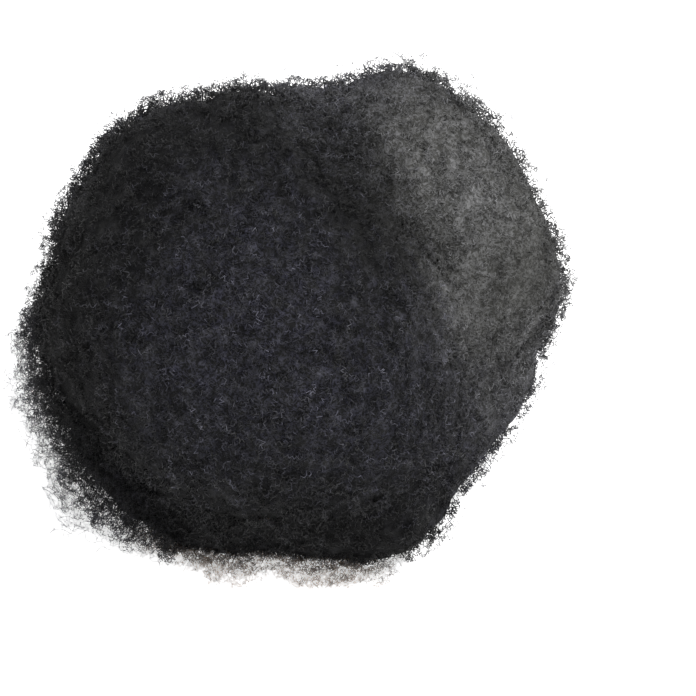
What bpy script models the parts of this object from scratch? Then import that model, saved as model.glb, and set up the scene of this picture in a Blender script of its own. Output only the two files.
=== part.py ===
"""A bundle of kinky bulk braiding hair, rolled up loosely and lying on a table.

Each mass of hair is a soft core with curved locks laid over it. Core and locks are fused
into one closed skin, and each mass is then trimmed to lie against its neighbours.
Lengths are metres, angles are degrees. Bearing 0 points to +X and turns towards +Y.
A climb of 0 is the widest height of a mass, and a climb of 90 is its top.
"""

import math
import random

import bmesh
import bpy
from mathutils import Vector

# The low turn of hair underneath, which lies on the table
LAYER_WIDTH = 0.189
LAYER_DEPTH = 0.174
LAYER_HEIGHT = 0.036

# The puffed mass in the middle
MOUND_WIDTH = 0.187
MOUND_DEPTH = 0.190
MOUND_TOP = 0.130
MOUND_WAIST = 0.048

# The last turn of the roll, round the back and the right side
TURN_WIDTH = 0.106
TURN_TOP = 0.118
TURN_TUCK = 0.034

# The loose tufts along the left edge, and the strip of hair that they grow from
FRINGE_WIDTH = 0.016
FRINGE_TOP = 0.056
FRINGE_TUCK = 0.007
TUFT_REACH = 0.010
TUFT_WIDTH = 0.011

# The locks that cover every mass, and the broad ridge down the front of the mound
LOCK_WIDTH = 0.020
LOCK_RELIEF = 0.006
SWELL_WIDTH = 0.052

# Between masses that lie against each other
CLEARANCE = 0.0006

# Middle of the mound, as shares of the layer's half width and half depth
MOUND_OFFSET = (-0.06, 0.10)

# Seen from above: bearing, share of the half width and half depth, share of the height
LAYER_OUTLINE = (
    (0, 1.14, 1.70),
    (30, 1.00, 1.20),
    (60, 0.92, 1.00),
    (90, 0.90, 1.00),
    (120, 0.90, 1.00),
    (150, 0.93, 1.00),
    (180, 0.97, 1.00),
    (210, 1.02, 1.00),
    (240, 1.06, 1.00),
    (270, 1.01, 1.00),
    (296, 1.11, 1.20),
    (318, 1.02, 1.60),
    (340, 1.00, 1.85),
)
MOUND_OUTLINE = (
    (0, 0.72, 1.00),
    (20, 0.58, 1.00),
    (45, 0.55, 1.00),
    (68, 0.73, 1.00),
    (90, 0.97, 1.00),
    (112, 1.01, 1.00),
    (132, 1.06, 1.00),
    (155, 1.01, 1.00),
    (180, 1.02, 1.00),
    (210, 0.98, 1.00),
    (240, 0.98, 1.00),
    (270, 1.00, 1.00),
    (300, 1.05, 1.00),
    (322, 1.02, 1.00),
    (342, 0.88, 1.00),
)

# Along a roll: bearing, share of its full width, share of its height
TURN_SECTIONS = (
    (-28, 0.27, 0.50),
    (-10, 0.56, 0.70),
    (5, 0.94, 0.86),
    (22, 0.90, 0.96),
    (42, 0.94, 1.00),
    (60, 0.84, 0.95),
    (78, 0.56, 0.84),
    (96, 0.50, 0.70),
)
FRINGE_SECTIONS = (
    (168, 0.50, 0.90),
    (185, 0.90, 1.00),
    (205, 1.00, 0.90),
    (225, 1.10, 0.66),
    (246, 0.80, 0.44),
)

# Rows of locks on a mass: lowest and highest climb, and the bearing that a lock crosses
LAYER_LOCKS = (
    (-34, 4, 58),
    (-8, 46, 52),
)
MOUND_LOCKS = (
    (-40, 4, 44),
    (-12, 34, 48),
    (20, 60, 70),
    (48, 82, 110),
)

# The broad ridge's way down the mound: bearing and climb
SWELL_PATH = (
    (130, 62),
    (200, 84),
    (262, 72),
    (284, 56),
    (296, 38),
    (306, 18),
)

# Rows of locks on the turn: the angle round its section, and how far a lock drifts round it
TURN_LOCKS = (
    (-20, 26),
    (18, 26),
    (56, 26),
    (94, 26),
    (132, 26),
)
TURN_STRETCHES = 4

# Rows of tufts on the fringe: the angle round its section that they point to
TUFT_ROWS = (-38, 4, 46)

# Spacing of locks and tufts along a row, in their own widths
LOCK_SPACING = 1.25
TUFT_SPACING = 1.2

# How far locks and tufts differ from each other, as shares except for the wave's degrees
VARIETY = {
    "lock_start": 0.2,
    "lock_wave": (3, 7),
    "lock_drift": (0.7, 1.3),
    "turn_start": (0.05, 0.25),
    "turn_wave": 6,
    "turn_overlap": 1.1,
    "tuft_start": 0.3,
    "tuft_reach": (0.6, 1.0),
    "tuft_sweep": 0.05,
}

# Fineness of the fused skin in lock or tuft widths, and the share of its faces that is kept
LOCK_GRAIN = 0.2
TUFT_GRAIN = 0.33
FACES_KEPT = 0.25

# How full a curve is: 2 is an ellipse, and more is squarer
FULLNESS = {"layer": 2.3, "mound": 2.25, "roll": 2.3, "roll_end": 3.2}

LUMP_FACES = (40, 20)
ROLL_FACES = (24, 32)
LOCK_STEPS = 6
LOCK_ROUNDNESS = 1
SEED = 11

HAIR_SHADES = {
    "under_layer": (0.016, 0.015, 0.016, 1.0),
    "centre_mound": (0.018, 0.018, 0.022, 1.0),
    "outer_turn": (0.036, 0.036, 0.037, 1.0),
    "edge_fringe": (0.030, 0.029, 0.029, 1.0),
}
HAIR_ROUGHNESS = 0.62


def clear_scene():
    for item in list(bpy.data.objects):
        bpy.data.objects.remove(item, do_unlink=True)


def add_collection(name):
    group = bpy.data.collections.new(name)
    bpy.context.scene.collection.children.link(group)
    return group


def shifted(row, by):
    return (row[0] + by, *row[1:])


def read_table(rows, place, period=None):
    """The values at any place in a table, on a smooth curve through its rows."""
    rows = sorted(rows)
    if period:
        place = rows[0][0] + (place - rows[0][0]) % period
        rows = [
            shifted(rows[-1], -period),
            *rows,
            shifted(rows[0], period),
            shifted(rows[1], period),
        ]
    place = min(max(place, rows[0][0]), rows[-1][0])
    at = max(i for i in range(len(rows) - 1) if rows[i][0] <= place)
    before = rows[max(at - 1, 0)]
    low = rows[at]
    high = rows[at + 1]
    after = rows[min(at + 2, len(rows) - 1)]
    span = high[0] - low[0]
    t = (place - low[0]) / span
    values = []
    for column in range(1, len(low)):
        leave = (high[column] - before[column]) / (high[0] - before[0]) * span
        arrive = (after[column] - low[column]) / (after[0] - low[0]) * span
        values.append(
            (2 * t**3 - 3 * t**2 + 1) * low[column]
            + (t**3 - 2 * t**2 + t) * leave
            + (3 * t**2 - 2 * t**3) * high[column]
            + (t**3 - t**2) * arrive
        )
    return values


def rounded(value, fullness):
    """A sine or cosine swelled into the fuller curve of a superellipse."""
    return math.copysign(abs(value) ** (2 / fullness), value)


def heading(bearing):
    return Vector((math.cos(math.radians(bearing)), math.sin(math.radians(bearing)), 0))


def lump_point(lump, bearing, climb, sink=0.0):
    """A point on a lump's core, or that far under its surface."""
    tilt = math.radians(climb)
    share, height = read_table(lump["outline"], bearing, 360)
    outward = heading(bearing)
    reach = share * rounded(math.cos(tilt), lump["fullness"])
    lift = rounded(math.sin(tilt), lump["fullness"])
    top = lump["top"] * (1 + (height - 1) * math.cos(tilt))
    rise = top - lump["waist"] if lift > 0 else lump["waist"] - lump["foot"]
    return Vector(
        (
            lump["x"] + (lump["half_width"] * reach - sink * math.cos(tilt)) * outward.x,
            lump["y"] + (lump["half_depth"] * reach - sink * math.cos(tilt)) * outward.y,
            lump["waist"] + lift * rise - sink * math.sin(tilt),
        )
    )


def roll_point(roll, along, around, sink=0.0):
    """A point on a roll's core: along the roll from 0 to 1, and around its section."""
    first = roll["sections"][0][0]
    last = roll["sections"][-1][0]
    bearing = first + (last - first) * along
    width, height = read_table(roll["sections"], bearing)
    outward = heading(bearing)
    half_width = roll["width"] / 2 * width
    half_height = (roll["top"] * height - roll["foot"]) / 2
    sides = [lump_point(lump, bearing, 0) for lump in roll["against"]]
    middle = max(sides, key=outward.dot) + outward * (half_width - roll["tuck"])
    middle.z = roll["foot"] + half_height
    angle = math.radians(around)
    close = rounded(math.sin(math.pi * along), FULLNESS["roll_end"])
    wide = (half_width * close - sink) * rounded(math.cos(angle), FULLNESS["roll"])
    high = (half_height * close - sink) * rounded(math.sin(angle), FULLNESS["roll"])
    return middle + outward * wide + Vector((0, 0, high))


def lump_core(lump):
    """A sphere whose points are moved onto the lump's surface."""
    shape = bmesh.new()
    around, upward = LUMP_FACES
    bmesh.ops.create_uvsphere(shape, u_segments=around, v_segments=upward, radius=1)
    for point in shape.verts:
        bearing = math.degrees(math.atan2(point.co.y, point.co.x))
        climb = math.degrees(math.asin(max(-1, min(1, point.co.z))))
        point.co = lump_point(lump, bearing, climb)
    return shape


def roll_core(roll):
    """A sphere whose poles are drawn out to the two ends of the roll."""
    shape = bmesh.new()
    around, lengthwise = ROLL_FACES
    bmesh.ops.create_uvsphere(shape, u_segments=around, v_segments=lengthwise, radius=1)
    for point in shape.verts:
        angle = math.degrees(math.atan2(point.co.y, point.co.x))
        along = math.acos(max(-1, min(1, point.co.z))) / math.pi
        point.co = roll_point(roll, along, angle)
    bmesh.ops.recalc_face_normals(shape, faces=shape.faces)
    return shape


def lump_locks(lump, rows, draw):
    """Paths of the locks that climb a lump, each with a sweep and a wave."""
    paths = []
    sink = LOCK_WIDTH / 2 - LOCK_RELIEF
    for low, high, sweep in rows:
        middle = math.radians((low + high) / 2)
        girth = math.pi * (lump["half_width"] + lump["half_depth"]) * math.cos(middle)
        count = max(3, round(girth / (LOCK_SPACING * LOCK_WIDTH)))
        for lock in range(count):
            stray = draw.uniform(-VARIETY["lock_start"], VARIETY["lock_start"])
            start = 360 * (lock + stray) / count
            wave = draw.uniform(*VARIETY["lock_wave"])
            drift = sweep * draw.uniform(*VARIETY["lock_drift"])
            path = []
            for step in range(LOCK_STEPS + 1):
                along = step / LOCK_STEPS
                bearing = start + drift * (along - 0.5) + wave * math.sin(math.tau * along)
                climb = low + (high - low) * along
                path.append(lump_point(lump, bearing, climb, sink))
            paths.append(path)
    return paths


def swell_path(lump):
    """The path of the broad ridge, sunk so that its crest is level with the locks."""
    sink = SWELL_WIDTH / 2 - LOCK_RELIEF
    return [lump_point(lump, bearing, climb, sink) for bearing, climb in SWELL_PATH]


def roll_locks(roll, draw):
    """Paths of the locks that run along a roll and drift round it."""
    paths = []
    sink = LOCK_WIDTH / 2 - LOCK_RELIEF
    for around, drift in TURN_LOCKS:
        for stretch in range(TURN_STRETCHES):
            first = (stretch + draw.uniform(*VARIETY["turn_start"])) / TURN_STRETCHES
            last = first + VARIETY["turn_overlap"] / TURN_STRETCHES
            path = []
            for step in range(LOCK_STEPS + 1):
                along = step / LOCK_STEPS
                place = min(0.94, max(0.06, first + (last - first) * along))
                sway = VARIETY["turn_wave"] * math.sin(math.tau * along)
                angle = around + drift * (along - 0.5) + sway
                path.append(roll_point(roll, place, angle, sink))
            paths.append(path)
    return paths


def fringe_tufts(roll, draw):
    """Paths of the tufts that stand out of the fringe's strip in rows."""
    paths = []
    span = math.radians(roll["sections"][-1][0] - roll["sections"][0][0])
    girth = span * roll["against"][0]["half_width"]
    count = max(3, round(girth / (TUFT_SPACING * TUFT_WIDTH)))
    for row in TUFT_ROWS:
        for tuft in range(count):
            stray = draw.uniform(-VARIETY["tuft_start"], VARIETY["tuft_start"])
            start = (tuft + 0.5 + stray) / count
            reach = TUFT_REACH * draw.uniform(*VARIETY["tuft_reach"])
            sweep = draw.uniform(-VARIETY["tuft_sweep"], VARIETY["tuft_sweep"])
            path = []
            for step in range(LOCK_STEPS + 1):
                along = step / LOCK_STEPS
                place = min(0.96, max(0.04, start + sweep * along))
                sink = TUFT_WIDTH / 2 - (reach + TUFT_WIDTH / 2) * along
                path.append(roll_point(roll, place, row, sink))
            paths.append(path)
    return paths


def thin_both_ends(along):
    return 0.35 + 0.65 * math.sin(math.pi * along) ** 0.7


def thin_tip(along):
    return 1.0 - 0.5 * along


def tubes_mesh(name, paths, width, taper):
    """One closed tapering tube along each path."""
    guide = bpy.data.curves.new(name, "CURVE")
    guide.dimensions = "3D"
    guide.bevel_depth = width / 2
    guide.bevel_resolution = LOCK_ROUNDNESS
    guide.use_fill_caps = True
    for path in paths:
        line = guide.splines.new("POLY")
        line.points.add(len(path) - 1)
        for step, place in enumerate(path):
            line.points[step].co = (*place, 1.0)
            line.points[step].radius = taper(step / (len(path) - 1))
    tubes = bpy.data.objects.new(name, guide)
    bpy.context.scene.collection.objects.link(tubes)
    bpy.context.view_layer.update()
    evaluated = tubes.evaluated_get(bpy.context.evaluated_depsgraph_get())
    mesh = bpy.data.meshes.new_from_object(evaluated)
    bpy.data.objects.remove(tubes, do_unlink=True)
    return mesh


def hair_material(name):
    finish = bpy.data.materials.new(name + "_hair")
    finish.use_nodes = True
    shader = finish.node_tree.nodes["Principled BSDF"]
    shader.inputs["Base Color"].default_value = HAIR_SHADES[name]
    shader.inputs["Roughness"].default_value = HAIR_ROUGHNESS
    shader.inputs["Metallic"].default_value = 0.0
    finish.diffuse_color = HAIR_SHADES[name]
    return finish


def fused_mass(name, core, locks, grain, group, holder):
    """The core and its locks as one object, with a closed skin drawn over all of them."""
    for tubes in locks:
        core.from_mesh(tubes)
    mesh = bpy.data.meshes.new(name)
    core.to_mesh(mesh)
    core.free()
    mass = bpy.data.objects.new(name, mesh)
    mass.parent = holder
    mass.data.materials.append(hair_material(name))
    group.objects.link(mass)
    skin = mass.modifiers.new("Skin", "REMESH")
    skin.mode = "VOXEL"
    skin.voxel_size = grain
    skin.use_smooth_shade = True
    soften = mass.modifiers.new("Soften", "SMOOTH")
    soften.factor = 0.5
    soften.iterations = 1
    thin = mass.modifiers.new("Fewer faces", "DECIMATE")
    thin.ratio = FACES_KEPT
    return mass


def add_cutter(name, mesh, group, holder):
    cutter = bpy.data.objects.new(name, mesh)
    cutter.parent = holder
    cutter.hide_render = True
    cutter.display_type = "WIRE"
    group.objects.link(cutter)
    return cutter


def grown_copy(mass, group, holder):
    """A cutter as large as the mass and the clearance round it."""
    bpy.context.view_layer.update()
    evaluated = mass.evaluated_get(bpy.context.evaluated_depsgraph_get())
    mesh = bpy.data.meshes.new_from_object(evaluated)
    cutter = add_cutter(mass.name + "_cutter", mesh, group, holder)
    grow = cutter.modifiers.new("Clearance", "DISPLACE")
    grow.strength = CLEARANCE
    grow.mid_level = 0.0
    return cutter


def table_cutter(layer, group, holder):
    """A block whose top is the table, which the layer lies flat on."""
    shape = bmesh.new()
    bmesh.ops.create_cube(shape, size=1)
    side = 3 * max(layer["half_width"], layer["half_depth"])
    depth = 2 * layer["top"]
    for point in shape.verts:
        point.co = Vector((point.co.x * side, point.co.y * side, (point.co.z - 0.5) * depth))
    mesh = bpy.data.meshes.new("table_cutter")
    shape.to_mesh(mesh)
    shape.free()
    return add_cutter("table_cutter", mesh, group, holder)


def trim(mass, *cutters):
    for cutter in cutters:
        cut = mass.modifiers.new("Lies against " + cutter.name, "BOOLEAN")
        cut.operation = "DIFFERENCE"
        # this solver also trims the thinnest tufts, where the exact one loses a mass at some sizes
        cut.solver = "MANIFOLD"
        cut.object = cutter


def settle_on_origin(holder, masses):
    """Moves the whole bundle so that the origin is under the middle of its box."""
    bpy.context.view_layer.update()
    graph = bpy.context.evaluated_depsgraph_get()
    corners = [
        mass.matrix_world @ Vector(corner)
        for mass in masses
        for corner in mass.evaluated_get(graph).bound_box
    ]
    for axis in (0, 1):
        ends = [corner[axis] for corner in corners]
        holder.location[axis] = -(min(ends) + max(ends)) / 2


def main():
    clear_scene()
    draw = random.Random(SEED)
    parts = add_collection("bulk_braiding_hair")
    cutters = add_collection("cutters")
    holder = bpy.data.objects.new("bundle", None)
    parts.objects.link(holder)

    layer = {
        "outline": LAYER_OUTLINE,
        "half_width": LAYER_WIDTH / 2 - LOCK_RELIEF,
        "half_depth": LAYER_DEPTH / 2 - LOCK_RELIEF,
        "x": 0.0,
        "y": 0.0,
        "foot": -LAYER_HEIGHT / 6,
        "waist": LAYER_HEIGHT * 0.42,
        "top": LAYER_HEIGHT,
        "fullness": FULLNESS["layer"],
    }
    mound = {
        "outline": MOUND_OUTLINE,
        "half_width": MOUND_WIDTH / 2 - LOCK_RELIEF,
        "half_depth": MOUND_DEPTH / 2 - LOCK_RELIEF,
        "x": MOUND_OFFSET[0] * LAYER_WIDTH / 2,
        "y": MOUND_OFFSET[1] * LAYER_DEPTH / 2,
        "foot": LAYER_HEIGHT / 5,
        "waist": MOUND_WAIST,
        "top": MOUND_TOP - LOCK_RELIEF,
        "fullness": FULLNESS["mound"],
    }
    turn = {
        "sections": TURN_SECTIONS,
        "against": [mound],
        "width": TURN_WIDTH - 2 * LOCK_RELIEF,
        "tuck": TURN_TUCK - 2 * LOCK_RELIEF,
        "foot": LAYER_HEIGHT / 5,
        "top": TURN_TOP - LOCK_RELIEF,
    }
    fringe = {
        "sections": FRINGE_SECTIONS,
        "against": [layer, mound],
        "width": FRINGE_WIDTH,
        "tuck": FRINGE_TUCK,
        "foot": LAYER_HEIGHT / 6,
        "top": FRINGE_TOP,
    }
    lock_grain = LOCK_GRAIN * LOCK_WIDTH
    tuft_grain = TUFT_GRAIN * TUFT_WIDTH

    locks = tubes_mesh("layer_locks", lump_locks(layer, LAYER_LOCKS, draw), LOCK_WIDTH, thin_both_ends)
    under_layer = fused_mass("under_layer", lump_core(layer), [locks], lock_grain, parts, holder)
    trim(under_layer, table_cutter(layer, cutters, holder))
    layer_cutter = grown_copy(under_layer, cutters, holder)

    locks = tubes_mesh("mound_locks", lump_locks(mound, MOUND_LOCKS, draw), LOCK_WIDTH, thin_both_ends)
    swell = tubes_mesh("mound_swell", [swell_path(mound)], SWELL_WIDTH, thin_both_ends)
    centre_mound = fused_mass("centre_mound", lump_core(mound), [locks, swell], lock_grain, parts, holder)
    trim(centre_mound, layer_cutter)
    mound_cutter = grown_copy(centre_mound, cutters, holder)

    locks = tubes_mesh("turn_locks", roll_locks(turn, draw), LOCK_WIDTH, thin_both_ends)
    outer_turn = fused_mass("outer_turn", roll_core(turn), [locks], lock_grain, parts, holder)
    trim(outer_turn, layer_cutter, mound_cutter)

    tufts = tubes_mesh("fringe_tufts", fringe_tufts(fringe, draw), TUFT_WIDTH, thin_tip)
    edge_fringe = fused_mass("edge_fringe", roll_core(fringe), [tufts], tuft_grain, parts, holder)
    trim(edge_fringe, layer_cutter, mound_cutter)

    settle_on_origin(holder, [under_layer, centre_mound, outer_turn, edge_fringe])


main()
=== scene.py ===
import math

import bmesh
import bpy
import numpy as np
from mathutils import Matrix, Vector, noise
from mathutils.bvhtree import BVHTree


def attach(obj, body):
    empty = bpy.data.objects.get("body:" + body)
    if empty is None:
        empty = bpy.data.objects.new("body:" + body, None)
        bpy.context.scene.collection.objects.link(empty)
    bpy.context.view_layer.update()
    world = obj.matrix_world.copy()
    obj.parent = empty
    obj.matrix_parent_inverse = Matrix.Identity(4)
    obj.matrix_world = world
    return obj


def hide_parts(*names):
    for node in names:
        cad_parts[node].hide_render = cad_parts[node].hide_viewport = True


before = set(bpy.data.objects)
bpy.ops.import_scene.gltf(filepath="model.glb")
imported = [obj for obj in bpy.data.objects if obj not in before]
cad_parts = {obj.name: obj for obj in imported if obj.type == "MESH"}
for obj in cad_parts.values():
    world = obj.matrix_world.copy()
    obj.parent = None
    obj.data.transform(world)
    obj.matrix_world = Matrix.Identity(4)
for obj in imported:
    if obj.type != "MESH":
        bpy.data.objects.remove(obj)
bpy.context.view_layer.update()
scene = bpy.context.scene
mm = 0.001
weld = 0.01 * mm  # corners closer than this are one
tiny = 1e-12  # nothing is divided by less
draw = np.random.default_rng(37)
print("frame loaded")


def linearColour(code):
    # an sRGB hex value as the linear colour that a shader takes
    values = [int(code[at : at + 2], 16) / 255 for at in (1, 3, 5)]
    linear = [v / 12.92 if v <= 0.04045 else ((v + 0.055) / 1.055) ** 2.4 for v in values]
    return (*linear, 1.0)


def addNode(tree, kind, settings=None, links=None):
    # settings are sockets or properties by name, links are input: (node, output)
    node = tree.nodes.new(kind)
    for name, value in (settings or {}).items():
        if isinstance(name, str) and hasattr(node, name):
            setattr(node, name, value)
        else:
            node.inputs[name].default_value = value
    for name, (source, output) in (links or {}).items():
        tree.links.new(source.outputs[output], node.inputs[name])
    return node


def unit(rows):
    return rows / np.maximum(np.linalg.norm(rows, axis=-1, keepdims=True), tiny)


def smoothStep(low, high, value):
    t = np.clip((value - low) / (high - low), 0, 1)
    return t * t * (3 - 2 * t)


# The hair has two qualities that change softly from place to place: tone, how light it is, and
# dust, from blue-black at 0 to dusty grey at 1, partly real dust and partly painted light. A finer
# mottle breaks both up. Patches are a middle in mm, a radius in mm and how much is added there.
hair = {
    "tone": 0.375,
    "dustAndLight": 0.08,
    "mottleSize": 4.4 * mm,
    "mottleSmooth": 0.4,
    "mottleStep": 2.0,
    "mottleDetail": 3,
    "mottleTone": 0.13,
    "mottleDust": 0.16,
    "dustShift": 5,  # so that the dust's mottle differs from the tone's
}
# the tone's patches are painted shade down the left side, along the bottom, in the crease between
# the mound and the turn and on parts of the turn, and painted light on the turn and along the top
paintedShadingPatches = (
    ((-24, 52, 112), 36, -0.23),
    ((-72, 30, 100), 32, -0.24),
    ((-60, -10, 116), 24, -0.12),
    ((-88, -10, 80), 32, -0.31),
    ((-80, -50, 50), 36, -0.32),
    ((-30, -86, 20), 40, -0.31),
    ((34, -88, 20), 36, -0.31),
    ((-4, -94, 56), 30, -0.11),
    ((10, 20, 112), 20, -0.12),
    ((32, -4, 112), 24, -0.22),
    ((44, -44, 96), 30, -0.07),
    ((72, 14, 98), 26, 0.16),
    ((90, 40, 84), 18, -0.10),
    ((90, 0, 78), 20, -0.14),
    ((62, -4, 100), 14, -0.12),
    ((66, -24, 82), 18, 0.14),
    ((88, -28, 34), 24, 0.09),
    ((58, 72, 92), 20, -0.10),
    ((30, 84, 84), 36, 0.23),
)
# the dust's patches lie on the outer turn and round the right and the back: partly real dust and
# partly painted light where those faces turn to the key light
dustAndLightPatches = (
    ((8, 84, 84), 34, 0.30),
    ((60, 80, 84), 34, 0.35),
    ((50, 50, 106), 28, 0.53),
    ((68, 24, 104), 28, 0.95),
    ((92, 24, 92), 28, 0.60),
    ((72, -16, 78), 24, 0.95),
    ((102, 4, 66), 30, 0.53),
    ((88, -26, 40), 28, 0.55),
    ((96, 56, 58), 34, 0.60),
    ((40, 100, 56), 30, 0.37),
)


def patchesAt(places, patches, base):
    value = np.full(len(places), base)
    for middle, radius, amount in patches:
        away = np.linalg.norm(places - np.array(middle) * mm, axis=1) / (radius * mm)
        value += amount * np.exp(-away * away)
    return value


def mottleAt(places, shift):
    smooth, step, detail = hair["mottleSmooth"], hair["mottleStep"], hair["mottleDetail"]
    spots = places / hair["mottleSize"] + shift
    return np.array([noise.fractal(spot, smooth, step, detail) for spot in spots])


# tone with the painted light and shade of its patches, and a random mottle
def toneAt(places):
    tone = patchesAt(places, paintedShadingPatches, hair["tone"])
    return np.clip(tone + hair["mottleTone"] * mottleAt(places, 0), 0, 1)


# dust with painted light from its patches, and a random mottle of real dust
def dustAndLightAt(places):
    dustAndLight = patchesAt(places, dustAndLightPatches, hair["dustAndLight"])
    return np.clip(dustAndLight + hair["mottleDust"] * mottleAt(places, hair["dustShift"]), 0, 1)


# Kinky bulk hair is fine synthetic fibre, steamed into tight coils. It is black with a low, soft
# lustre, blue-black where it is clean, and greyer where the cut ends lie open like dust; that grey
# also stands in for painted light. Each list of colours runs from the darkest shade to the
# lightest.
fibre = {
    "blueBlack": ("#060607", "#141417", "#282831", "#464652", "#787886"),
    "dustyAndLitBlack": ("#2c2c2a", "#444442", "#5c5c5c", "#727273", "#888889"),
    "brownEnds": ("#644a32", "#86674a", "#a58669", "#c0a586", "#d8c4a8"),
    "seeThroughEnds": 0.85,
    "roughness": 0.5,
    "ior": 1.55,
    "lustre": 0.2,
}


def addShades(tree, shades, shade):
    # a ramp of evenly spaced shades, read at the shade that comes in
    ramp = addNode(tree, "ShaderNodeValToRGB", links={"Fac": shade})
    stops = ramp.color_ramp.elements
    stops[0].color = linearColour(shades[0])
    stops[1].color = linearColour(shades[-1])
    for at, code in enumerate(shades[1:-1], 1):
        stops.new(at / (len(shades) - 1)).color = linearColour(code)
    return ramp


def addFibreColour(tree, clean, dustyAndLit, shade, dustAndLight):
    # a Mix node's colours go in at 6 and 7 and come out at 2, as the names there are shared
    colour = addNode(tree, "ShaderNodeMix", {"data_type": "RGBA"}, {"Factor": dustAndLight})
    tree.links.new(addShades(tree, clean, shade).outputs["Color"], colour.inputs[6])
    tree.links.new(addShades(tree, dustyAndLit, shade).outputs["Color"], colour.inputs[7])
    tree.links.new(colour.outputs[2], tree.nodes["Principled BSDF"].inputs["Base Color"])


def coiledFibre(name, clean, dustyAndLit, seeThrough=0.0):
    # One loose strand after another, each with its own shade. A strand's map holds its colour:
    # u is the shade, painted light and shade included, and v is the dust with its painted light.
    material = bpy.data.materials.new(name)
    material.use_nodes = True
    tree = material.node_tree
    shader = tree.nodes["Principled BSDF"]
    shader.inputs["Roughness"].default_value = fibre["roughness"]
    shader.inputs["IOR"].default_value = fibre["ior"]
    shader.inputs["Specular IOR Level"].default_value = fibre["lustre"]
    shader.inputs["Transmission Weight"].default_value = seeThrough
    spot = addNode(tree, "ShaderNodeUVMap", {"uv_map": "OFBake"})
    split = addNode(tree, "ShaderNodeSeparateXYZ", links={"Vector": (spot, "UV")})
    addFibreColour(tree, clean, dustyAndLit, (split, "X"), (split, "Y"))
    return material


packed = {
    "coil": 2.6 * mm,  # the real coils are 2 to 3 mm wide
    "layers": ((1.0, 0.0), (0.8, 0.31)),  # share of the coil's width, and shift
    "detail": 1.0,
    "distortion": 0.8,
    "middle": 0.5,
    "lineShare": 0.10,
    "paintedGapShade": -0.28,
    "lineShade": 0.44,
    "relief": 0.6 * mm,
    "reliefStrength": 0.8,
    "roughness": 0.8,
    "lustre": 0.08,
}


def packedFibre(name):
    # The same fibre packed under the loose coils, seen as crossing lines with gaps of painted shade
    # between them. A line is where a soft noise passes its middle value, so it loops like a coil of
    # that size.
    material = bpy.data.materials.new(name)
    material.use_nodes = True
    tree = material.node_tree
    shader = tree.nodes["Principled BSDF"]
    shader.inputs["Roughness"].default_value = packed["roughness"]
    shader.inputs["IOR"].default_value = fibre["ior"]
    shader.inputs["Specular IOR Level"].default_value = packed["lustre"]
    place = addNode(tree, "ShaderNodeTexCoord")
    lines = None
    noiseLook = {"Detail": packed["detail"], "Distortion": packed["distortion"]}
    for size, shift in packed["layers"]:
        moved = addNode(tree, "ShaderNodeMapping", {"Location": (shift, shift * 2, -shift)},
                        {"Vector": (place, "Object")})
        cloud = addNode(tree, "ShaderNodeTexNoise",
                        {"Scale": 1 / (size * packed["coil"]), **noiseLook},
                        {"Vector": (moved, "Vector")})
        offMiddle = addNode(tree, "ShaderNodeMath", {"operation": "SUBTRACT", 1: packed["middle"]},
                            {0: (cloud, "Fac")})
        away = addNode(tree, "ShaderNodeMath", {"operation": "ABSOLUTE"}, {0: (offMiddle, "Value")})
        line = addNode(tree, "ShaderNodeMapRange",
                       {"From Max": packed["lineShare"], "To Min": 1.0, "To Max": 0.0},
                       {"Value": (away, "Value")})
        if lines is None:
            lines = (line, "Result")
        else:
            both = addNode(tree, "ShaderNodeMath", {"operation": "MAXIMUM"},
                           {0: lines, 1: (line, "Result")})
            lines = (both, "Value")
    tone = addNode(tree, "ShaderNodeAttribute", {"attribute_name": "tone"})
    dustAndLight = addNode(tree, "ShaderNodeAttribute", {"attribute_name": "dustAndLight"})
    # lines lighter and gaps darker, the gaps' darkness being painted shade between the fibres
    lineRange = {1: packed["lineShade"], 2: packed["paintedGapShade"]}
    change = addNode(tree, "ShaderNodeMath", {"operation": "MULTIPLY_ADD", **lineRange}, {0: lines})
    # where the hair is dark its lines and gaps are much alike
    strength = addNode(tree, "ShaderNodeMapRange", {"From Max": hair["tone"]},
                       {"Value": (tone, "Fac")})
    shade = addNode(tree, "ShaderNodeMath", {"operation": "MULTIPLY_ADD"},
                    {0: (change, "Value"), 1: (strength, "Result"), 2: (tone, "Fac")})
    clean, dustyAndLit = fibre["blueBlack"], fibre["dustyAndLitBlack"]
    addFibreColour(tree, clean, dustyAndLit, (shade, "Value"), (dustAndLight, "Fac"))
    relief = addNode(tree, "ShaderNodeBump",
                     {"Strength": packed["reliefStrength"], "Distance": packed["relief"]},
                     {"Height": lines})
    tree.links.new(relief.outputs["Normal"], shader.inputs["Normal"])
    return material


def linked(name, mesh):
    piece = bpy.data.objects.new(name, mesh)
    scene.collection.objects.link(piece)
    return piece


def vertexPlaces(mesh):
    places = np.empty(len(mesh.vertices) * 3, np.float32)
    mesh.vertices.foreach_get("co", places)
    return places.reshape(-1, 3).astype(float)


def surfaceOf(mesh):
    shape = bmesh.new()
    shape.from_mesh(mesh)
    surface = BVHTree.FromBMesh(shape)
    shape.free()
    return surface


def massOf(name, nodeNames):
    # a copy of some of the CAD's masses with their loose triangles merged
    shape = bmesh.new()
    for nodeName in nodeNames:
        shape.from_mesh(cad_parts[nodeName].data)
    bmesh.ops.remove_doubles(shape, verts=shape.verts, dist=weld)
    mesh = bpy.data.meshes.new(name)
    shape.to_mesh(mesh)
    shape.free()
    return linked(name, mesh)


def applied(piece):
    # the piece's modifiers made part of its mesh
    bpy.context.view_layer.update()
    finished = piece.evaluated_get(bpy.context.evaluated_depsgraph_get())
    mesh = bpy.data.meshes.new_from_object(finished)
    mesh.name = piece.name
    piece.modifiers.clear()
    piece.data = mesh
    return mesh


def addVoxels(piece, size):
    skin = piece.modifiers.new("Voxels", "REMESH")
    skin.mode = "VOXEL"
    skin.voxel_size = size


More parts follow.
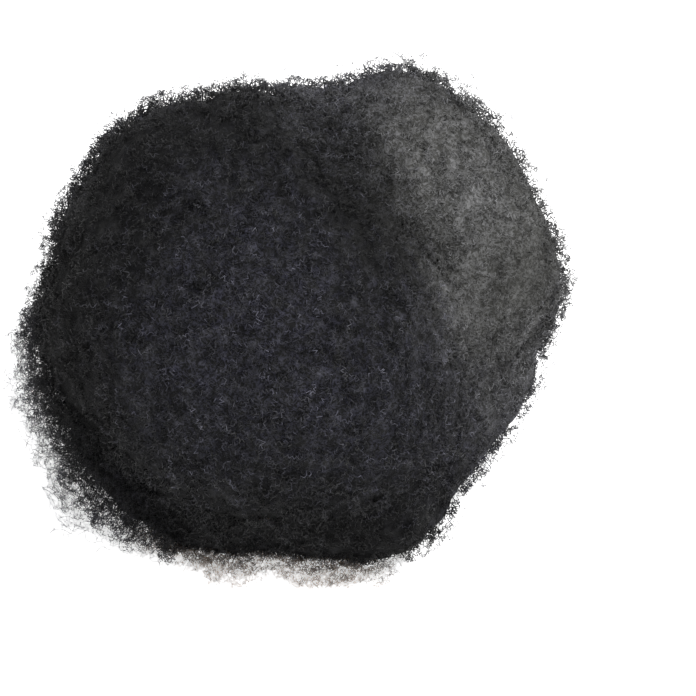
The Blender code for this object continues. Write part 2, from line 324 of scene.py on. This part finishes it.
def addGrowth(piece, reach):
    growth = piece.modifiers.new("Growth", "DISPLACE")
    growth.mid_level = 0
    growth.strength = reach


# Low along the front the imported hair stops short, and only thin wisps reach the edge. The
# pairs are where that strip fades out.
front = {
    "left": (-70 * mm, -58 * mm),
    "right": (38 * mm, 50 * mm),
    "back": (-84 * mm, -64 * mm),
    "top": (18 * mm, 34 * mm),
    "drawnIn": 2.6 * mm,
    "flattened": 0.75,
}


def frontShare(places):
    # 1 in the strip low along the front, and 0 away from it
    across, deep, high = places[:, 0], places[:, 1], places[:, 2]
    share = smoothStep(*front["left"], across) * (1 - smoothStep(*front["right"], across))
    return share * (1 - smoothStep(*front["back"], deep)) * (1 - smoothStep(*front["top"], high))


looseSkin = {
    "nodes": ("centre_mound", "outer_turn", "under_layer"),
    "voxel": 2.5 * mm,
    "bridge": 8 * mm,
    "raise": 1.6 * mm,
    "soften": 10,
}
# where that skin stands out further, or less: middle and radius in mm, and how many mm
fullerPatches = (
    ((108, -4, 50), 46, 1.4),
    ((80, 80, 66), 32, 1.8),
    ((50, -88, 16), 23, 3.3),
    ((82, -60, 22), 30, 1.6),
    ((68, -64, 12), 12, -1.6),
    ((98, -28, 40), 16, 1.4),
    ((4, 92, 70), 22, 2.8),
    ((-28, 90, 68), 18, -3.0),
    ((-56, 80, 70), 16, 1.6),
    ((28, 94, 76), 16, -2.4),
    ((-96, 10, 62), 34, -2.0),
    ((-95, -38, 44), 28, 2.2),
    ((-74, -74, 22), 24, -2.6),
)


def bridgingSkin():
    # The surface that the loose coils lie on: all the masses in one, grown and drawn in again,
    # so that it bridges the creases between them as the real coils do.
    whole = massOf("looseSkin", looseSkin["nodes"])
    addVoxels(whole, looseSkin["voxel"])
    addGrowth(whole, looseSkin["bridge"])
    addVoxels(whole, looseSkin["voxel"])
    addGrowth(whole, looseSkin["raise"] - looseSkin["bridge"])
    soften = whole.modifiers.new("Soften", "SMOOTH")
    soften.iterations = looseSkin["soften"]
    mesh = applied(whole)
    places = vertexPlaces(mesh)
    normals = np.empty(len(places) * 3, np.float32)
    mesh.vertex_normals.foreach_get("vector", normals)
    places += normals.reshape(-1, 3) * mm * patchesAt(places, fullerPatches, 0.0)[:, None]
    places[:, 1] += front["drawnIn"] * frontShare(places)
    mesh.vertices.foreach_set("co", places.astype(np.float32).ravel())
    surface = surfaceOf(mesh)
    bpy.data.objects.remove(whole)
    return surface


def pulledOn(surface, places):
    # the nearest places on a surface, and the directions out of it there
    near = [surface.find_nearest(Vector(place)) for place in places]
    return np.array([hit[0] for hit in near]), np.array([hit[1] for hit in near])


skin = bridgingSkin()
print("bridging skin made")

# The outer side of each packed mass lies a little under the loose coils. Walls deeper in swell
# until they press against each other.
commonCore = {
    "voxel": 2.3 * mm,
    "swell": 1.8 * mm,
    "soften": 12,
    "sink": 3.0 * mm,
    "outside": (8 * mm, 13 * mm),
    "clumpSize": 4.5 * mm,
    "clumpSmooth": 1.0,
    "clumpStep": 2.0,
    "clumpDetail": 3,
    "clumpRise": 0.8 * mm,
    "onTable": 0.6 * mm,
}
coreSettings = {
    "moundCore": {**commonCore, "node": "centre_mound", "slot": "mound_hair"},
    "turnCore": {**commonCore, "node": "outer_turn", "slot": "turn_hair"},
    "layerCore": {**commonCore, "node": "under_layer", "slot": "layer_hair"},
}
packedHair = packedFibre("Packed kinky fibre")


def makeCore(name, settings):
    core = massOf(name, [settings["node"]])
    addVoxels(core, settings["voxel"])
    addGrowth(core, settings["swell"])
    soften = core.modifiers.new("Soften", "SMOOTH")
    soften.iterations = settings["soften"]
    mesh = applied(core)
    places = vertexPlaces(mesh)
    outer, normals = pulledOn(skin, places)
    depths = np.linalg.norm(outer - places, axis=1)
    clumpLook = settings["clumpSmooth"], settings["clumpStep"], settings["clumpDetail"]
    spots = [Vector(place) / settings["clumpSize"] for place in places]
    clumps = np.array([noise.fractal(spot, *clumpLook) for spot in spots])
    packedAt = outer + normals * (clumps * settings["clumpRise"] - settings["sink"])[:, None]
    moved = places + (packedAt - places) * (1 - smoothStep(*settings["outside"], depths))[:, None]
    moved[:, 2] = np.where(places[:, 2] < settings["onTable"], 0, np.maximum(moved[:, 2], 0))
    mesh.vertices.foreach_set("co", moved.astype(np.float32).ravel())
    # the core keeps tone, with its painted light and shade, and dust, with its painted light, on
    # its corners
    for quality, values in (("tone", toneAt(moved)), ("dustAndLight", dustAndLightAt(moved))):
        field = mesh.attributes.new(quality, "FLOAT", "POINT")
        field.data.foreach_set("value", values.astype(np.float32))
    mesh.polygons.foreach_set("use_smooth", [True] * len(mesh.polygons))
    mesh.update()
    mesh.materials.append(packedHair)
    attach(core, "root")
    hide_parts(settings["node"])
    print(name, 2 * len(mesh.polygons), "triangles")
    return core


cores = {name: makeCore(name, settings) for name, settings in coreSettings.items()}

# Real fibre is under 0.1 mm thick, which is too fine to show, so the strands are drawn as
# coarse as they need to be.
commonCoils = {
    "spareRoots": 3,  # so many times as many roots are tried
    "offTable": 1.0 * mm,
    "facing": (-0.35, 0.15),  # below the first a face is turned away, above the second it isn't
    "backShare": 0.5,  # of the roots that other faces have
    "back": (-0.7, -0.1),
    "backFlattened": 0.5,
    "rimShare": 1.0,
    "rimWidth": 0.35,
    "buried": 4.4 * mm,
    "turns": 6,
    "pointsPerTurn": 3,
    "pitch": 1.9 * mm,
    "pitchRange": (0.7, 1.3),
    "bend": 0.8,
    "kinkShare": 0.3,
    "windRange": (0.65, 1.35),
    "coilRadius": 1.0 * mm,
    "coilRange": (0.45, 1.35),
    "strandRadius": 0.23 * mm,
    "restShare": 1.5,  # a strand's middle lies this many of its radii above the table
    "tipShare": 0.45,
    "tipLength": 1 / 6,
    "thinFrom": -1 * mm,
    "thinTo": 4 * mm,
    "thinShare": 0.55,
    "low": -3.0 * mm,
    "high": 4.8 * mm,
    "heightWander": 0.85 * mm,
    "strayShare": 0.12,
    "strayReach": 4 * mm,
    "strayRange": (0.3, 1.0),
    "strayCurve": 1.3,
    "shadeByStrand": 0.05,
    "shadeByTurn": 0.18,
    "shadeByHeight": 0.24,
    "lightFrom": 0.5 * mm,
    "lightTo": 4.5 * mm,
    "dustAndLightAt": dustAndLightAt,
    "dustByStrand": 0.10,
    "mapStep": 0.01,
}
viewSide = np.array((0.0, -0.5, 0.87))  # the hair that faces this way has the most strands


def rootsOn(mesh, count, settings):
    # random places on the surface, fewer at the back and more along the rim, where they show most
    mesh.calc_loop_triangles()
    corners = np.empty(len(mesh.loop_triangles) * 3, np.int32)
    mesh.loop_triangles.foreach_get("vertices", corners)
    triangles = vertexPlaces(mesh)[corners.reshape(-1, 3)]
    first, second = triangles[:, 1] - triangles[:, 0], triangles[:, 2] - triangles[:, 0]
    across = np.cross(first, second)
    facing = unit(across) @ viewSide
    backShare = settings["backShare"]
    share = backShare + (1 - backShare) * smoothStep(*settings["facing"], facing)
    share = share + settings["rimShare"] * np.exp(-((facing / settings["rimWidth"]) ** 2))
    weight = np.linalg.norm(across, axis=1) * share
    weight *= triangles[:, :, 2].mean(1) > settings["offTable"]
    chosen = draw.choice(len(weight), count, p=weight / weight.sum())
    a, b = draw.random((2, count))
    over = a + b > 1
    a, b = np.where(over, 1 - a, a), np.where(over, 1 - b, b)
    return triangles[chosen, 0] + first[chosen] * a[:, None] + second[chosen] * b[:, None]


def wanderOver(surface, roots, settings):
    # a path for each coil, one point a turn, that wanders over the surface
    places, normals = pulledOn(surface, roots)
    heading = unit(np.cross(normals, draw.normal(size=places.shape)))
    path, up = [places], [normals]
    for _ in range(settings["turns"]):
        bend = draw.normal(0, settings["bend"], len(places))[:, None]
        heading = unit(heading * np.cos(bend) + np.cross(normals, heading) * np.sin(bend))
        step = settings["pitch"] * draw.uniform(*settings["pitchRange"], len(places))[:, None]
        places, normals = pulledOn(surface, places + heading * step)
        heading = unit(heading - normals * (heading * normals).sum(1, keepdims=True))
        path.append(places)
        up.append(normals)
    return np.stack(path, 1), np.stack(up, 1)


def alongRows(rows, count):
    # rows of points or values, resampled to count a row
    place = np.linspace(0, rows.shape[1] - 1, count)
    low = np.minimum(place.astype(int), rows.shape[1] - 2)
    share = place - low
    if rows.ndim == 3:
        share = share[:, None]
    return rows[:, low] * (1 - share) + rows[:, low + 1] * share


def coilRows(path, up, heights, settings):
    # rows of points that wind round each path
    strands, turns = len(path), settings["turns"]
    count = turns * settings["pointsPerTurn"] + 1
    middle = alongRows(path + up * heights[:, :, None], count)
    up = unit(alongRows(up, count))
    ahead = unit(np.gradient(middle, axis=1))
    side = unit(np.cross(up, ahead))
    up = np.cross(ahead, side)
    # now and then a strand turns back and winds the other way, which makes it kinky
    turnsBack = np.where(draw.random((strands, turns + 1)) < settings["kinkShare"], -1, 1)
    hand = np.repeat(np.cumprod(turnsBack, 1), settings["pointsPerTurn"], 1)[:, :count]
    wind = draw.uniform(*settings["windRange"], (strands, count))
    advance = wind * math.tau / settings["pointsPerTurn"]
    angle = draw.uniform(0, math.tau, (strands, 1)) + np.cumsum(hand * advance, 1)
    coilSizes = draw.uniform(*settings["coilRange"], (strands, turns + 1))
    size = settings["coilRadius"] * alongRows(coilSizes, count)
    outward = up * np.sin(angle)[:, :, None] + side * np.cos(angle)[:, :, None]
    return middle + size[:, :, None] * outward


def strandShades(rows, heights, settings):
    # A strand has its own shade, which changes a little from turn to turn, but where the hair is
    # dark its strands are much alike. The loose outer ones are lighter, as light comes through.
    strands, count = rows.shape[:2]
    own = draw.normal(0, settings["shadeByStrand"], (strands, 1))
    byTurn = alongRows(draw.normal(0, settings["shadeByTurn"], heights.shape), count)
    outer = smoothStep(settings["lightFrom"], settings["lightTo"], alongRows(heights, count))
    # this tone carries the patches' painted light and shade
    tone = toneAt(rows.reshape(-1, 3)).reshape(strands, count)
    unlike = smoothStep(0, hair["tone"], tone)
    return tone + unlike * (own + byTurn) + settings["shadeByHeight"] * outer


def strandMesh(name, rows, heights, shade, dustAndLight, settings):
    # a closed three-sided strand along each row of points, thinner at its ends and high up
    strands, count = rows.shape[:2]
    lowest = settings["restShare"] * settings["strandRadius"]
    rows[:, :, 2] = np.maximum(rows[:, :, 2], lowest)
    ahead = unit(np.gradient(rows, axis=1))
    side = unit(np.cross(ahead, draw.normal(size=(strands, 1, 3))))
    up = np.cross(ahead, side)
    along = np.linspace(0, 1, count)
    full = np.minimum(1, np.minimum(along, 1 - along) / settings["tipLength"])
    tipShare = settings["tipShare"]
    thick = settings["strandRadius"] * (tipShare + (1 - tipShare) * full)
    high = smoothStep(settings["thinFrom"], settings["thinTo"], alongRows(heights, count))
    thick = thick * (1 - settings["thinShare"] * high)
    turn = np.arange(3) * math.tau / 3  # three corners round each point of a row
    outward = side[:, :, None] * np.cos(turn)[:, None] + up[:, :, None] * np.sin(turn)[:, None]
    points = rows[:, :, None] + thick[:, :, None, None] * outward
    start = (np.arange(strands) * count * 3)[:, None, None]
    at = start + (np.arange(count - 1) * 3)[None, :, None]
    here = np.arange(3)
    after = (here + 1) % 3
    sides = np.stack([at + here, at + after, at + 3 + after, at + 3 + here], -1).reshape(-1, 4)
    ends = np.concatenate([start[:, 0] + [2, 1, 0], start[:, 0] + (count - 1) * 3 + [0, 1, 2]])
    corners = np.concatenate([sides.ravel(), ends.ravel()])
    mesh = bpy.data.meshes.new(name)
    mesh.vertices.add(strands * count * 3)
    mesh.vertices.foreach_set("co", points.astype(np.float32).ravel())
    mesh.loops.add(len(corners))
    mesh.loops.foreach_set("vertex_index", corners.astype(np.int32))
    sizes = np.concatenate([np.full(len(sides), 4), np.full(len(ends), 3)])
    mesh.polygons.add(len(sizes))
    mesh.polygons.foreach_set("loop_start", (np.cumsum(sizes) - sizes).astype(np.int32))
    # The map: shade across and dust with painted light upwards. A small step between corners gives
    # each face a size.
    strandOf, rowOf, cornerOf = corners // (count * 3), corners // 3 % count, corners % 3
    step = settings["mapStep"]
    shadeStep = np.array([-step, step, 0])[cornerOf]
    dustStep = np.array([-step, -step, step])[cornerOf] + step * (rowOf % 2)
    margin = 3 * step
    across = np.clip(shade[strandOf, rowOf], margin, 1 - margin) + shadeStep
    upwards = np.clip(dustAndLight[strandOf], margin, 1 - margin) + dustStep
    uv = mesh.uv_layers.new(name="OFBake")
    uv.uv.foreach_set("vector", np.stack([across, upwards], 1).astype(np.float32).ravel())
    mesh.polygons.foreach_set("use_smooth", np.ones(len(sizes), bool))
    mesh.update()
    mesh.validate()
    return mesh


def addStrands(name, rows, heights, material, settings):
    shade = strandShades(rows, heights, settings)
    dustAndLight = settings["dustAndLightAt"](rows.mean(1)) + draw.normal(0, settings["dustByStrand"], len(rows))
    mesh = strandMesh(name, rows, heights, shade, dustAndLight, settings)
    mesh.materials.append(material)
    piece = linked(name, mesh)
    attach(piece, "root")
    print(name, len(rows), "strands,", 2 * len(mesh.polygons) - 2 * len(rows), "triangles")
    return piece


looseHair = coiledFibre("Tightly coiled fibre", fibre["blueBlack"], fibre["dustyAndLitBlack"])
coilSettings = {
    "moundCoilsA": {**commonCoils, "core": "moundCore", "slot": "mound_hair", "strands": 1700},
    "moundCoilsB": {**commonCoils, "core": "moundCore", "slot": "mound_hair", "strands": 1700},
    "turnCoils": {**commonCoils, "core": "turnCore", "slot": "turn_hair", "strands": 1600},
    "layerCoils": {**commonCoils, "core": "layerCore", "slot": "layer_hair", "strands": 1000},
}


def growCoils(name, settings):
    tried = settings["spareRoots"] * settings["strands"]
    roots = rootsOn(cores[settings["core"]].data, tried, settings)
    # roots on walls that lie deep between two masses are left out
    depths = np.linalg.norm(pulledOn(skin, roots)[0] - roots, axis=1)
    roots = roots[depths < settings["buried"]][: settings["strands"]]
    path, up = wanderOver(skin, roots, settings)
    # the loose layer gets denser evenly from its top down, so its edge fades out softly
    depth = (settings["high"] - settings["low"]) * np.sqrt(draw.random((len(roots), 1)))
    wander = np.cumsum(draw.normal(0, settings["heightWander"], path.shape[:2]), 1)
    heights = np.maximum(settings["high"] - depth + wander, settings["low"])
    # some coils leave the surface and stand out as flyaways
    stray = draw.random(len(roots)) < settings["strayShare"]
    reach = draw.uniform(*settings["strayRange"], len(roots)) * settings["strayReach"]
    rise = np.linspace(0, 1, path.shape[1]) ** settings["strayCurve"]
    heights = heights + np.where(stray, reach, 0)[:, None] * rise
    # low along the front they lie close, and so do the fewer ones at the back
    back = 1 - smoothStep(*settings["back"], up[:, 0] @ viewSide)
    close = np.maximum(front["flattened"] * frontShare(roots), settings["backFlattened"] * back)
    heights -= close[:, None] * (heights - settings["low"])
    addStrands(name, coilRows(path, up, heights, settings), heights, looseHair, settings)


for coilName, coilValues in coilSettings.items():
    growCoils(coilName, coilValues)

# The see-through fringe is loose, finer fibre alone, right through its node's space.
fringe = {
    **commonCoils,
    "slot": "fringe_hair",
    "spareRoots": 8,
    "strands": 1750,
    "turns": 5,
    "strandRadius": 0.138 * mm,
    "outside": -1 * mm,
    "rootShare": 0.5,
    "low": -6.5 * mm,
    "high": 5 * mm,
    "lightFrom": -3 * mm,
}
# where the fringe reaches further, or less: middle and radius in mm, and share of its height
fringePatches = (
    ((-104, -18, 15), 22, 0.3),
    ((-94, -47, 10), 20, 0.35),
    ((-80, -66, 6), 18, 0.85),
    ((-54, -82, 4), 12, -0.6),
)


def growThrough(name, source, roots, reach, material, settings):
    # thin strands at all depths round a surface, as high as their reach, a share of full height
    path, up = wanderOver(surfaceOf(source), roots, settings)
    full = settings["high"] - settings["low"]
    heights = settings["low"] + full * draw.random(len(roots)) * reach
    wander = np.cumsum(draw.normal(0, settings["heightWander"], path.shape[:2]), 1)
    heights = heights[:, None] + wander
    return addStrands(name, coilRows(path, up, heights, settings), heights, material, settings)


def growFringe(name, settings):
    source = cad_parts["edge_fringe"].data
    roots = rootsOn(source, settings["spareRoots"] * settings["strands"], settings)
    # only the side that stands out of the masses has roots
    under, up = pulledOn(skin, roots)
    standing = ((roots - under) * up).sum(1) > settings["outside"]
    roots = roots[standing]
    reach = patchesAt(roots, fringePatches, 1.0)
    # and there are more of them where the fringe reaches further
    chosen = draw.random(len(roots)) < settings["rootShare"] * reach
    roots, reach = roots[chosen][: settings["strands"]], reach[chosen][: settings["strands"]]
    piece = growThrough(name, source, roots, reach, looseHair, settings)
    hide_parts("edge_fringe")


growFringe("fringeCoils", fringe)


def brownAt(places):
    # 1 low along the front, and less higher up and towards both ends of the wisps
    across, high = places[:, 0], places[:, 2]
    left, right, top = (frontWisps[end] for end in ("brownLeft", "brownRight", "brownTop"))
    share = smoothStep(*left, across) * (1 - smoothStep(*right, across))
    return share * (1 - smoothStep(*top, high))


# Where only thin ends lie on the white table, light comes through them and they look brown.
frontWisps = {
    **commonCoils,
    "slot": "layer_hair",
    "spareRoots": 30,
    "strands": 1050,
    "turns": 4,
    "strandRadius": 0.125 * mm,
    "low": -4 * mm,
    "high": 6.5 * mm,
    "highest": 11 * mm,
    "heightWander": 0.6 * mm,
    "lightFrom": -4 * mm,
    "dustAndLightAt": brownAt,
    "brownLeft": (-72 * mm, -44 * mm),
    "brownRight": (26 * mm, 50 * mm),
    "brownTop": (4 * mm, 12 * mm),
}
# how far the wisps reach along the front: place in mm, share of their full height
scallops = (
    (-70, 0.8),
    (-60, 1.0),
    (-48, 0.5),
    (-40, 0.6),
    (-30, 1.3),
    (-20, 1.3),
    (-9, 0.8),
    (4, 1.3),
    (20, 1.1),
    (36, 1.1),
    (50, 0.7),
)


def growFrontWisps(name, settings):
    edge = massOf(name + "Edge", ("under_layer", "edge_fringe"))
    roots = rootsOn(edge.data, settings["spareRoots"] * settings["strands"], settings)
    chosen = (draw.random(len(roots)) < frontShare(roots)) & (roots[:, 2] < settings["highest"])
    roots = roots[chosen][: settings["strands"]]
    places, shares = zip(*scallops)
    reach = np.interp(roots[:, 0] / mm, places, shares)
    black, brown, seeThrough = fibre["blueBlack"], fibre["brownEnds"], fibre["seeThroughEnds"]
    thinEnds = coiledFibre("Thin brown fibre ends", black, brown, seeThrough)
    growThrough(name, edge.data, roots, reach, thinEnds, settings)
    bpy.data.objects.remove(edge)


growFrontWisps("frontWisps", frontWisps)

studio = {
    "aim": (0.0231, -0.0168, 0.045),
    "elevation": 60,
    "distance": 2.0,
    "lens": 258.6,
    "sensor": 36,
    "sky": 1.2,
    "keyPower": 16,
    "keyPlace": (0.65, 0.1, 1.3),
    "keySize": 0.7,
    "floorSize": 3,
    "floorColour": "#f7f7f7",
    "floorRoughness": 0.9,
    "floorGlow": 0.6,
}


def addFloor():
    # matt white acrylic, lit a little from below, so that hardly any shadow shows
    shape = bmesh.new()
    bmesh.ops.create_grid(shape, x_segments=1, y_segments=1, size=studio["floorSize"])
    mesh = bpy.data.meshes.new("floor")
    shape.to_mesh(mesh)
    shape.free()
    floor = linked("floor", mesh)
    acrylic = bpy.data.materials.new("Matt white acrylic")
    acrylic.use_nodes = True
    shader = acrylic.node_tree.nodes["Principled BSDF"]
    shader.inputs["Base Color"].default_value = linearColour(studio["floorColour"])
    shader.inputs["Roughness"].default_value = studio["floorRoughness"]
    shader.inputs["Emission Color"].default_value = (1, 1, 1, 1)
    shader.inputs["Emission Strength"].default_value = studio["floorGlow"]
    mesh.materials.append(acrylic)


def addKeyLight():
    lamp = bpy.data.lights.new("key", "AREA")
    lamp.size = studio["keySize"]
    lamp.energy = studio["keyPower"]
    light = linked("key", lamp)
    light.location = studio["keyPlace"]
    light.rotation_euler = (-Vector(studio["keyPlace"])).to_track_quat("-Z", "Y").to_euler()


def addSky():
    world = bpy.data.worlds.new("studio")
    world.use_nodes = True
    background = world.node_tree.nodes["Background"]
    background.inputs["Color"].default_value = (1, 1, 1, 1)
    background.inputs["Strength"].default_value = studio["sky"]
    scene.world = world
    scene.view_settings.view_transform = "Standard"


def addCamera():
    view = bpy.data.cameras.new("camera")
    view.lens = studio["lens"]
    view.sensor_width = studio["sensor"]
    camera = linked("camera", view)
    angle = math.radians(studio["elevation"])
    away = Vector((0, -math.cos(angle), math.sin(angle)))
    camera.location = Vector(studio["aim"]) + studio["distance"] * away
    camera.rotation_euler = (math.radians(90) - angle, 0, 0)
    scene.camera = camera


addFloor()
addKeyLight()
addSky()
addCamera()
print("stage set")
